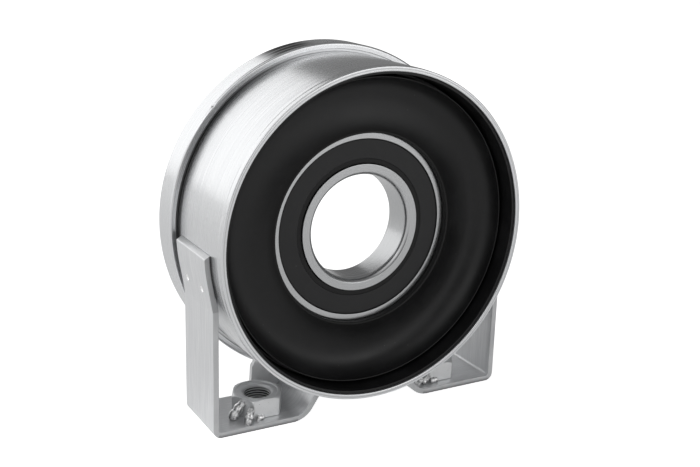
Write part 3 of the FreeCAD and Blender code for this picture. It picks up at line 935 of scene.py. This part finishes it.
@dataclass
class Foot:
    """One strap bracket with its gusset, weld nut and welds.

    A bead is given by the two ends of its run, its radius, its seed and its number of ripples.
    The ends are measured from the foot's top under the nut's left corner, those of the rear
    bead from under the nut's middle.
    """

    side: Side
    seat_r: float = 93.15
    thickness: float = 3.3
    width: float = 41.0
    shift: float = 1.0
    top_drop: float = 1.8
    end_lean: float = 1.9
    leg_x: float = 92.0
    crease_drop: float = 33.1
    crease_round: float = 6.0
    floor_z: float = -105.7
    foot_bend: float = 1.5
    lip_x: float = 44.3
    lip_bend: float = 10.7
    lip_angle: float = 57.0
    edge_round: float = 0.4
    spot_y: tuple[float, float] = (-8.75, 11.95)
    spot_drop: float = 22.8
    spot_radius: float = 2.0
    spot_depth: float = 1.2
    spot_rim: float = 0.08
    nut_x: float = 58.0
    nut_flats: float = 27.0
    nut_height: float = 11.3
    corner_cut: float = 0.25
    corner_soft: float = 0.16
    face_r: float = 12.825
    shoulder_round: float = 2.8
    rim_r: float = 12.1
    dish_r: float = 11.6
    dish_depth: float = 0.5
    thread_r: float = 7.2
    thread_root_r: float = 8.0
    thread_pitch: float = 1.5
    thread_rows: int = 84
    mouth_r: float = 9.2
    mouth_depth: float = 1.2
    hole_r: float = 8.75
    weld_gap: float = 0.05
    gusset_points: tuple[tuple[float, float], ...] = ((53.9, -102.35), (52.9, -85.35), (48.9, -79.28))
    gusset_rear: float = 21.5
    gusset_edge: float = 0.25
    seam_r: float = 2.208
    rear_bead: Run = ((-4.0, 13.7, 0.4), (4.0, 13.7, 0.4), 2.2, 5, 5)
    left_beads: tuple[Run, ...] = (((-3.9, -6.6, 8.4), (-10.6, -7.6, 1.4), 2.75, 11, 3),
                                   ((-1.6, -13.6, 6.4), (-5.5, -17.3, 1.4), 2.2, 12, 3),
                                   ((2.0, -13.7, 1.0), (4.8, -13.8, 1.0), 1.9, 13, 1))
    right_beads: tuple[Run, ...] = (((-7.4, -14.4, 4.4), (-10.4, -13.7, 1.4), 2.42, 14, 2),
                                    ((-2.0, -13.5, 4.9), (-4.5, -13.4, 1.4), 1.76, 16, 3),
                                    ((0.8, -13.2, 1.2), (4.2, -13.2, 1.2), 1.9, 15, 1))

    def name(self, words: str) -> str:
        """Name of a piece or node of this foot."""
        return "%s_%s" % (self.side.name.lower(), words)

    @property
    def foot_top(self) -> float:
        """Height of the foot's top."""
        return self.floor_z + self.thickness

    @property
    def tab_x(self) -> float:
        """The X beyond which the strap's outside belongs to tab or leg."""
        return 0.9 * self.leg_x

    @property
    def curl(self) -> tuple[float, float]:
        """Centre of the wide bend between foot and lip."""
        return self.lip_x, self.foot_top + self.lip_bend

    def lip_tip(self, radius: float) -> np.ndarray:
        """Where the line that leaves the wide bend at the radius meets the shell."""
        turn = -90.0 - self.lip_angle
        return self.shell_point(arc(self.curl, radius, turn, turn, 1)[0])

    def shell_point(self, start: np.ndarray) -> np.ndarray:
        """Where a line that rises at the lip's angle from start meets the shell."""
        angle = math.radians(180.0 - self.lip_angle)
        step = np.array([math.cos(angle), math.sin(angle)])
        along = float(start @ step)
        gap = float(start @ start) - self.seat_r ** 2
        return start + step * (-along - math.sqrt(along ** 2 - gap))

    def strap_line(self, out: float) -> np.ndarray:
        """A line of the strap from tab to lip, at the distance out from its inside.

        It lies on the drum, leaves it on a tangent, whose points fulfil
        x cos(leave) + z sin(leave) = r, and turns down into the leg by the crease's round.
        """
        leave = (math.atan2(-self.crease_drop, self.leg_x)
                 + math.acos((self.seat_r + self.thickness) / math.hypot(self.leg_x, self.crease_drop)))
        turn = math.degrees(leave)
        r, x = self.seat_r + out, self.leg_x - self.thickness + out
        top = -math.degrees(math.asin((self.top_drop + self.end_lean * out / self.thickness) / r))
        crease_r = self.crease_round + self.thickness - out
        crease = (r - x * math.cos(leave)) / math.sin(leave) - crease_r * math.tan(-leave / 2)
        corner = (self.leg_x - self.foot_bend - self.thickness, self.foot_top + self.foot_bend)
        parts = [arc((0, 0), r, top, turn, 90), arc((x + crease_r, crease), crease_r, 180 + turn, 180, 7),
                 arc(corner, self.foot_bend + out, 0, -90, 13),
                 arc(self.curl, self.lip_bend + out, -90, -90.0 - self.lip_angle, 21)]
        joined = [parts[0]]
        for before, after, count in zip(parts, parts[1:], (42, 12, 14)):
            joined += [line(before[-1], after[0], count)[1:-1], after]
        tip = parts[-1][-1]
        return np.concatenate([*joined, line(tip, self.shell_point(tip), 7)[1:]])

    def strap_section(self) -> np.ndarray:
        """Section of the strap: t from 0 inside to 1 outside, and y, round the rectangle."""
        half, e, thick = self.width / 2, self.edge_round, self.thickness
        near = np.concatenate([y - self.shift + np.linspace(-3, 3, 19) for y in self.spot_y])
        across = np.unique(np.round(np.concatenate([np.linspace(-half + e, half - e, 15), near]), 3))
        across = across[(across > -half + 2 * e) & (across < half - 2 * e)]
        across = np.concatenate([[-half + e], across, [half - e]])
        rounds = [arc((y, t), e, first, first - 90, 5)[1:-1]
                  for y, t, first in ((half - e, thick - e, 90), (half - e, e, 0),
                                      (-half + e, e, -90), (-half + e, thick - e, -180))]
        outside = np.column_stack([across, np.full(across.size, thick)])
        inside = np.column_stack([across[::-1], np.zeros(across.size)])
        depth = np.array([thick - e, 1.2, 0.95, e])
        ends = [np.column_stack([np.full(4, half), depth]), np.column_stack([np.full(4, -half), depth[::-1]])]
        loop = np.concatenate([outside, rounds[0], ends[0], rounds[1], inside, rounds[2], ends[1],
                               rounds[3]])
        return np.column_stack([loop[:, 1] / thick, loop[:, 0]])

    def strap_mesh(self) -> Mesh:
        """The strap: its section carried along its outer and inner line, with rounded ends.

        A point of the section lies at inner + t * (outer - inner) in X and Z. At both ends
        three more rows draw the section in along a quarter circle, and a face closes it. Each
        spot is a round pit, depth * (1 - (d / radius)^2) deep at the distance d from its
        middle, with a low rim.
        """
        outer, inner = self.strap_line(self.thickness), self.strap_line(0.0)
        section = self.strap_section()
        e = self.edge_round
        turn = np.radians([90, 60, 30, 0])
        depth, inset = e * (1 - np.sin(turn)), e * (1 - np.cos(turn))
        far = np.linalg.norm(outer - outer[0], axis=1) > 2 * e
        far &= np.linalg.norm(outer - outer[-1], axis=1) > 2 * e
        outer, inner = (np.concatenate([path[0] + np.outer(depth, unit(path[1] - path[0])), path[far],
                                        path[-1] + np.outer(depth[::-1], unit(path[-2] - path[-1]))])
                        for path in (outer, inner))
        shrink = np.concatenate([inset, np.zeros(far.sum()), inset[::-1]])[:, None]
        t = 0.5 + (section[None, :, 0] - 0.5) * (1 - 2 * shrink / self.thickness)
        y = self.shift + section[None, :, 1] * (1 - 2 * shrink / self.width)
        flat = inner[:, None] + t[..., None] * (outer - inner)[:, None]
        points = np.stack([flat[..., 0], y, flat[..., 1]], axis=-1)
        on_tab = np.broadcast_to(section[:, 0] > 0.999, y.shape) & (shrink == 0)
        on_tab &= points[..., 0] > self.tab_x
        across = unit(outer - inner)[:, None]
        for spot in self.spot_y:
            share = np.hypot(points[..., 2] + self.spot_drop, points[..., 1] - spot) / self.spot_radius
            pit = self.spot_depth * np.clip(1 - share ** 2, 0, 1)
            push = on_tab * (self.spot_rim * np.exp(-((share - 1.2) / 0.15) ** 2) - pit)
            points[..., [0, 2]] += across * push[..., None]
        blank = make_mesh("strap_blank", *capped(points * (self.side.value, 1, 1)))
        strap = self.drilled(blank)
        mark(strap, "dirt_and_shade", self.edge_dirt_and_shade(mesh_points(strap)))
        # Painted highlight and pressed polish in the weld-spot pits
        mark(strap, "burnish", self.pit_shine(mesh_points(strap)))
        return strap

    def pit_shine(self, points: np.ndarray) -> np.ndarray:
        """Pits of the weld spots, pressed smooth and lightened by a painted highlight."""
        gaps = [np.hypot(points[:, 2] + self.spot_drop, points[:, 1] - y) for y in self.spot_y]
        on_tab = np.abs(points[:, 0]) > self.tab_x
        return on_tab * (np.min(gaps, axis=0) < self.spot_radius)

    def edge_dirt_and_shade(self, points: np.ndarray) -> np.ndarray:
        """Dullness of the sheared edges, a little more on the tab, with painted shade where the strap lies on
        the drum and under the foot.
        """
        edge = np.abs(points[:, 1] - self.shift) > self.width / 2 - 0.5 * self.edge_round
        tab = points[:, 2] > -self.crease_drop
        # Painted shade in the joint with the drum and under the foot, on top of the duller edges
        joint = (round_shaft(points)[0] < self.seat_r + 0.8) & (points[:, 2] > -60.0)
        under = points[:, 2] < self.floor_z + 0.8
        return np.where(edge, 0.25 + 0.2 * tab + 0.5 * (joint | under), 0.0)

    def drilled(self, mesh: Mesh) -> Mesh:
        """Cut the bolt hole through the foot of the strap."""
        ring = arc((self.side.value * self.nut_x, 0.0), self.hole_r, 0, 360, 73)[:-1]
        drill = np.stack([np.column_stack([ring, np.full(len(ring), z)])
                          for z in (self.floor_z - 3, self.foot_top + 3)])
        cutter_mesh = make_mesh("hole_cutter", *capped(drill))
        cutter = bpy.data.objects.new("hole_cutter", cutter_mesh)
        strap = bpy.data.objects.new("strap_blank", mesh)
        for blank in (cutter, strap):
            bpy.context.scene.collection.objects.link(blank)
        cut = strap.modifiers.new("bolt_hole", "BOOLEAN")
        cut.object, cut.operation, cut.solver = cutter, "DIFFERENCE", "EXACT"
        bpy.context.view_layer.update()
        depsgraph = bpy.context.evaluated_depsgraph_get()
        result = bpy.data.meshes.new_from_object(strap.evaluated_get(depsgraph))
        for blank in (cutter, strap):
            bpy.data.objects.remove(blank)
        for blank in (cutter_mesh, mesh):
            bpy.data.meshes.remove(blank)
        result.name = self.name("plated_strap")
        tidy_mesh(result)
        return result

    def gusset_mesh(self) -> Mesh:
        """The gusset: its outline carried along Y, drawn in a little at both faces."""
        seat = self.lip_bend - self.weld_gap
        roll = arc(self.curl, seat, -90.0 - self.lip_angle, -90, 12)
        foot, shoulder, top = (np.array(p) for p in self.gusset_points)
        first, last = (math.degrees(math.atan2(p[1], p[0])) for p in (top, self.lip_tip(seat)))
        outline = np.concatenate([[foot], line(foot, shoulder, 4)[1:],
                                  arc((0, 0), self.seat_r, first, last, 18), roll])
        outline = outline[np.linalg.norm(outline - np.roll(outline, 1, axis=0), axis=1) > 0.02]
        before, after = np.roll(outline, 1, axis=0), np.roll(outline, -1, axis=0)
        tangent = unit(unit(after - outline) - unit(before - outline))
        area = (outline[:, 0] * after[:, 1] - after[:, 0] * outline[:, 1]).sum()
        normal = np.column_stack([-tangent[:, 1], tangent[:, 0]]) * math.copysign(1.0, area)
        rear, front, e = self.gusset_rear, self.gusset_rear - self.thickness, self.gusset_edge
        rows = [(front, e), (front + e * 0.3, e * 0.3), (front + e, 0), (front + 2 * e, 0), (rear - 2 * e, 0),
                (rear - e, 0), (rear - e * 0.3, e * 0.3), (rear, e)]
        rings = np.stack([np.insert(outline + normal * inset, 1, y, axis=1) for y, inset in rows])
        return make_mesh(self.name("gusset_plate"), *capped(rings * (self.side.value, 1, 1)))

    def nut_mesh(self) -> Mesh:
        """The weld nut: hexagon, round shoulder, dished face and thread as one closed surface.

        The hexagon's radius at the angle a from the middle of a flat is half the flats over
        cos a, rounded off near the corners. With the shoulder's radius s, the top drops by
        s - sqrt(s^2 - d^2) at the distance d outside the face. The thread's radius is a
        clipped triangle wave of height / pitch - turns.
        """
        base = self.foot_top + self.weld_gap
        top = base + self.nut_height
        steps = np.array([-30, -29.2, -28.2, -26.5, -23, -18, -12, -6, 0, 6, 12, 18, 23, 26.5, 28.2, 29.2])
        theta = np.concatenate([30 + 60 * n + steps for n in range(6)])
        flat, soft = self.nut_flats / 2, self.corner_soft
        hexagon = flat / np.cos(np.radians(np.tile(steps, 6)))
        corner = flat / math.cos(math.radians(30)) - self.corner_cut
        hexagon = soft * (80 - np.log(np.exp(80 - hexagon / soft) + np.exp(80 - corner / soft)))

        def shoulder(radius: np.ndarray) -> np.ndarray:
            """Height of the rounded top at a radius."""
            out = np.clip(radius - self.face_r, 0, self.shoulder_round)
            return top - self.shoulder_round + np.sqrt(self.shoulder_round ** 2 - out ** 2)

        edge = shoulder(hexagon)
        rows: list[tuple[Any, Any]] = [(hexagon - 0.3, base), (hexagon, base + 0.3), (hexagon, base + 0.6),
                                       (hexagon, edge - 0.3), (hexagon - 0.02, edge - 0.08)]
        for share in (0.0, 0.17, 0.34, 0.5, 0.67, 0.83, 1.0):
            radius = (hexagon - 0.12) * (1 - share) + self.face_r * share
            rows.append((radius, shoulder(radius)))
        dish = top - self.dish_depth
        mouth = dish - 0.2
        rows += [(self.rim_r + 0.25, top), (self.rim_r + 0.08, top - 0.02), (self.rim_r - 0.06, top - 0.1),
                 (self.dish_r + 0.06, dish + 0.06), (self.dish_r - 0.1, dish),
                 (self.dish_r - 0.3, dish - 0.02),
                 (self.mouth_r + 0.3, mouth + 0.02), (self.mouth_r + 0.1, mouth),
                 (self.mouth_r - 0.05, mouth - 0.05)]
        flare = (self.mouth_r - self.thread_r) / self.mouth_depth
        thread_depth = self.thread_root_r - self.thread_r
        for z in np.linspace(mouth - 0.15, base + 0.2, self.thread_rows):
            phase = (z / self.thread_pitch - theta / 360.0) % 1.0
            wave = np.clip(1.0 - np.abs(phase - 0.5) * 2 * 1.35, 0.0, 0.85) / 0.85
            fade = min(1.0, (z - base) / 0.6)
            cone = self.thread_r + flare * max(0.0, z - mouth + self.mouth_depth)
            rows.append((np.maximum(self.thread_r + thread_depth * wave * fade, cone), z))
        rows += [(self.thread_r + 0.05, base + 0.05), (self.thread_r + 0.4, base)]
        angle, one = np.radians(theta), np.ones_like(theta)
        points = np.concatenate([np.column_stack([radius * np.cos(angle), radius * np.sin(angle), z * one])
                                 for radius, z in rows])
        points += (self.nut_x, 0, 0)
        mesh = make_mesh(self.name("weld_nut"), points * (self.side.value, 1, 1),
                         [grid_faces(len(rows), len(theta), True)])
        place = mesh_points(mesh)
        out = np.hypot(np.abs(place[:, 0]) - self.nut_x, place[:, 1])
        # Painted shade in the bolt hole's thread, darkest in its roots
        inside = np.clip((mouth - 0.5 - place[:, 2]) / 1.5, 0.0, 1.0) * (out < self.thread_root_r + 0.2)
        mark(mesh, "dirt_and_shade", inside * (0.25 + 0.75 * np.clip((out - self.thread_r) / 0.5, 0.0, 1.0)))
        return mesh

    @staticmethod
    def bead(first: Sequence[float], last: Sequence[float], radius: float, seed: int,
             ripples: float) -> tuple[np.ndarray, np.ndarray]:
        """A weld bead: a lumpy round run with closed ends.

        The radius at the share u of the run is radius * (1 - (2u - 1)^6)^(1/2), times ripples
        that slant round the bead, plus soft noise.

        Args:
            first: start of the run.
            last: end of the run.
            radius: largest radius.
            seed: seed of the noise.
            ripples: number of ripples along the run.

        Returns:
            Points and faces.
        """
        rows, columns = 61, 36
        first = np.asarray(first, float)
        run = np.asarray(last, float) - first
        length, axis = np.linalg.norm(run), unit(run)
        side = unit(np.cross(axis, [0.0, 0.0, 1.0]))
        up = np.cross(side, axis)
        u = 0.5 - 0.5 * np.cos(np.linspace(0, np.pi, rows))[:, None]
        v = np.linspace(0, 2 * np.pi, columns, endpoint=False)[None, :]
        ripple = 1 + 0.07 * np.sin(2 * np.pi * ripples * u + 1.3 * np.cos(v))
        reach = radius * np.sqrt(np.clip(1 - (2 * u - 1) ** 6, 0, 1)) * ripple
        centre = first - axis * radius * 0.6 + axis * (length + 1.2 * radius) * u[..., None]
        points = centre + reach[..., None] * (np.cos(v)[..., None] * side + np.sin(v)[..., None] * up)
        flat = points.reshape(-1, 3)
        middle = np.broadcast_to(centre, points.shape).reshape(-1, 3)
        lump = 1 + 0.09 * smooth_noise(flat, 3.6, seed)[:, None]
        return middle + (flat - middle) * lump, grid_faces(rows, columns, False)

    def nut_welds_mesh(self) -> Mesh:
        """The beads that hold the nut: the front ones at its left corner, and one behind."""
        middle = np.array([self.side.value * self.nut_x, 0.0, self.foot_top])
        corner = middle - (self.nut_flats / 2 / math.sqrt(3), 0.0, 0.0)
        front = self.left_beads if self.side is Side.LEFT else self.right_beads
        runs = [(middle, self.rear_bead)] + [(corner, run) for run in front]
        beads = [self.bead(origin + first, origin + last, *rest) for origin, (first, last, *rest) in runs]
        return make_mesh(self.name("nut_weld_beads"), *join_surfaces(beads))

    def seam_mesh(self) -> Mesh:
        """The seam weld along the end of the lip."""
        tip = self.lip_tip(self.lip_bend + self.thickness)
        x, half = self.side.value * tip[0], self.width / 2 - 1.2
        points, faces = self.bead((x, self.shift - half, tip[1]), (x, self.shift + half, tip[1]),
                                  self.seam_r, 21, 22)
        return make_mesh(self.name("lip_seam_bead"), points, [faces])

    def build(self, finishes: Finishes) -> None:
        """Make and dress the foot."""
        pieces = [(self.strap_mesh(), finishes.strap, "plated_steel", "bracket"),
                  (self.gusset_mesh(), finishes.lit_plate, "plated_steel", "gusset"),
                  (self.nut_mesh(), finishes.nut, "nut_steel", "nut"),
                  (self.nut_welds_mesh(), finishes.weld, "weld_metal", "nut_welds"),
                  (self.seam_mesh(), finishes.weld, "weld_metal", "lip_seam")]
        for mesh, material, slot, part in pieces:
            add_piece(mesh, material, Body.HOUSING, self.name(part))


# Studio


@dataclass(frozen=True)
class Softbox:
    """A rectangular softbox: where it stands, what it faces, its size and its brightness."""

    name: str
    place: Place
    target: Place
    width: float
    height: float
    radiance: float


def stand(name: str, data: bpy.types.ID, axes: np.ndarray, place: np.ndarray) -> bpy.types.Object:
    """Put a lamp or camera in the scene, with the columns of axes as its right, up and back."""
    matrix = np.eye(4)
    matrix[:3, :3], matrix[:3, 3] = axes, place
    thing = bpy.data.objects.new(name, data)
    thing.matrix_world = Matrix(matrix.tolist())
    bpy.context.scene.collection.objects.link(thing)
    return thing


@dataclass
class Studio:
    """Floor, backdrop, lights and camera. Lengths here are in metres."""

    floor_z: float = -0.1057
    floor_half: float = 6.0
    floor_colour: str = "#E4E4E4"
    camera_lift: float = 0.82
    glossy_lift: float = 0.24
    card_lift: float = 0.34
    card_place: tuple[float, float] = (-0.03, -0.05)
    card_reach: tuple[float, float] = (0.05, 0.20)
    ambient: float = 0.22
    softboxes: tuple[Softbox, ...] = (
        Softbox("rear_softbox", (-0.94, 2.33, 0.85), (0.0, 0.0, 0.0), 3.3, 1.8, 1.15),
        Softbox("left_softbox", (-2.35, -0.25, 0.98), (0.0, 0.0, 0.0), 4.2, 2.5, 0.8),
        Softbox("overhead_softbox", (-1.2, -0.4, 2.1), (0.0, 0.0, 0.0), 3.0, 2.3, 0.8),
        Softbox("front_right_softbox", (1.6, -2.6, 1.6), (0.0, 0.0, 0.0), 1.7, 1.5, 0.8),
        Softbox("front_card", (0.55, -1.05, 0.28), (0.0, 0.0, -0.05), 1.1, 0.66, 1.1))
    azimuth: float = -29.522
    elevation: float = 16.497
    roll: float = 1.725
    shift: tuple[float, float] = (0.000842, 0.005896)
    distance: float = 0.60638
    focal_pixels: float = 1073.278
    picture_width: int = 700
    sensor: float = 36.0

    def camera(self) -> None:
        """The camera at the photograph's angle.

        Its axes are right = (cos a, sin a, 0), back = (sin a cos e, -cos a cos e, sin e) and
        up = back x right, turned by the roll, and the picture's centre looks past the origin
        by the shift.
        """
        a, e, r = (math.radians(v) for v in (self.azimuth, self.elevation, self.roll))
        back = np.array([math.sin(a) * math.cos(e), -math.cos(a) * math.cos(e), math.sin(e)])
        right = np.array([math.cos(a), math.sin(a), 0.0])
        up = np.cross(back, right)
        axes = np.array([right * math.cos(r) + up * math.sin(r),
                         up * math.cos(r) - right * math.sin(r), back])
        data = bpy.data.cameras.new("camera")
        data.sensor_width = self.sensor
        data.lens = self.focal_pixels * self.sensor / self.picture_width
        place = -axes.T @ np.array([*self.shift, -self.distance])
        bpy.context.scene.camera = stand("camera", data, axes.T, place)

    def floor(self) -> None:
        """A wide pale floor. To the camera it is lifted to white, and it keeps a soft shadow.

        In reflections it is lifted less, and more round the front of the part, where it stands
        for the white table that throws light under the drum.
        """
        z, half = self.floor_z, self.floor_half
        points = np.array([[-half, -half, z], [half, -half, z], [half, half, z], [-half, half, z]]) / MM
        mesh = make_mesh("studio_floor", points, [np.array([[0, 1, 2, 3]])])
        material = bpy.data.materials.new("matt_floor_paint")
        material.use_nodes = True
        tree = material.node_tree
        tree.nodes.remove(tree.nodes["Principled BSDF"])
        matt = add_node(tree, "BsdfDiffuse", "BSDF", {"Color": linear(self.floor_colour)})
        away = add_node(tree, "VectorMath", "Value", {1: (*self.card_place, z)},
                        {0: add_node(tree, "TexCoord", "Object")}, operation="DISTANCE")
        glow = add_node(tree, "MapRange", "Result",
                        {"From Min": self.card_reach[0], "From Max": self.card_reach[1],
                         "To Min": self.card_lift, "To Max": self.glossy_lift},
                        {"Value": away}, interpolation_type="SMOOTHSTEP")
        mirrored = add_node(tree, "Math", "Value", None,
                            {0: add_node(tree, "LightPath", "Is Glossy Ray"), 1: glow}, operation="MULTIPLY")
        strength = add_node(tree, "Math", "Value", {1: self.camera_lift},
                            {0: add_node(tree, "LightPath", "Is Camera Ray"), 2: mirrored},
                            operation="MULTIPLY_ADD")
        lift = add_node(tree, "Emission", "Emission", {"Color": WHITE}, {"Strength": strength})
        lifted = add_node(tree, "AddShader", "Shader", None, {0: matt, 1: lift})
        tree.links.new(lifted, tree.nodes["Material Output"].inputs["Surface"])
        mesh.materials.append(material)
        floor = bpy.data.objects.new("studio_floor", mesh)
        bpy.context.scene.collection.objects.link(floor)

    def world(self) -> None:
        """A dim even room; to the camera the backdrop is white."""
        world = bpy.data.worlds.new("studio")
        bpy.context.scene.world = world
        world.use_nodes = True
        tree = world.node_tree
        room = tree.nodes["Background"]
        room.inputs["Color"].default_value = WHITE
        room.inputs["Strength"].default_value = self.ambient
        white = add_node(tree, "Background", "Background", {"Color": WHITE, "Strength": 1.0})
        mixed = add_node(tree, "MixShader", "Shader", None,
                         {0: add_node(tree, "LightPath", "Is Camera Ray"), 1: room.outputs["Background"],
                          2: white})
        tree.links.new(mixed, tree.nodes["World Output"].inputs["Surface"])

    @staticmethod
    def light(box: Softbox) -> None:
        """One softbox. Its power is radiance * pi * area."""
        data = bpy.data.lights.new(box.name, "AREA")
        data.shape = "RECTANGLE"
        data.size, data.size_y = box.width, box.height
        data.energy = box.radiance * math.pi * box.width * box.height
        place = np.array(box.place)
        back = unit(place - np.array(box.target))
        right = unit(np.cross([0.0, 0.0, 1.0], back))
        lamp = stand(box.name, data, np.column_stack([right, np.cross(back, right), back]), place)
        lamp.visible_camera = False

    def build(self) -> None:
        """Set up the studio."""
        self.floor()
        self.world()
        for box in self.softboxes:
            self.light(box)
        self.camera()
        bpy.context.scene.view_settings.view_transform = "Standard"


def main() -> None:
    """Build every piece in order."""
    logging.basicConfig(level=logging.INFO, format="%(name)s: %(message)s")
    finishes = Finishes()
    Bearing().build(finishes)
    Cushion().build(finishes)
    Drum().build(finishes)
    for side in Side:
        Foot(side).build(finishes)
    Studio().build()


if __name__ == "__main__":
    main()
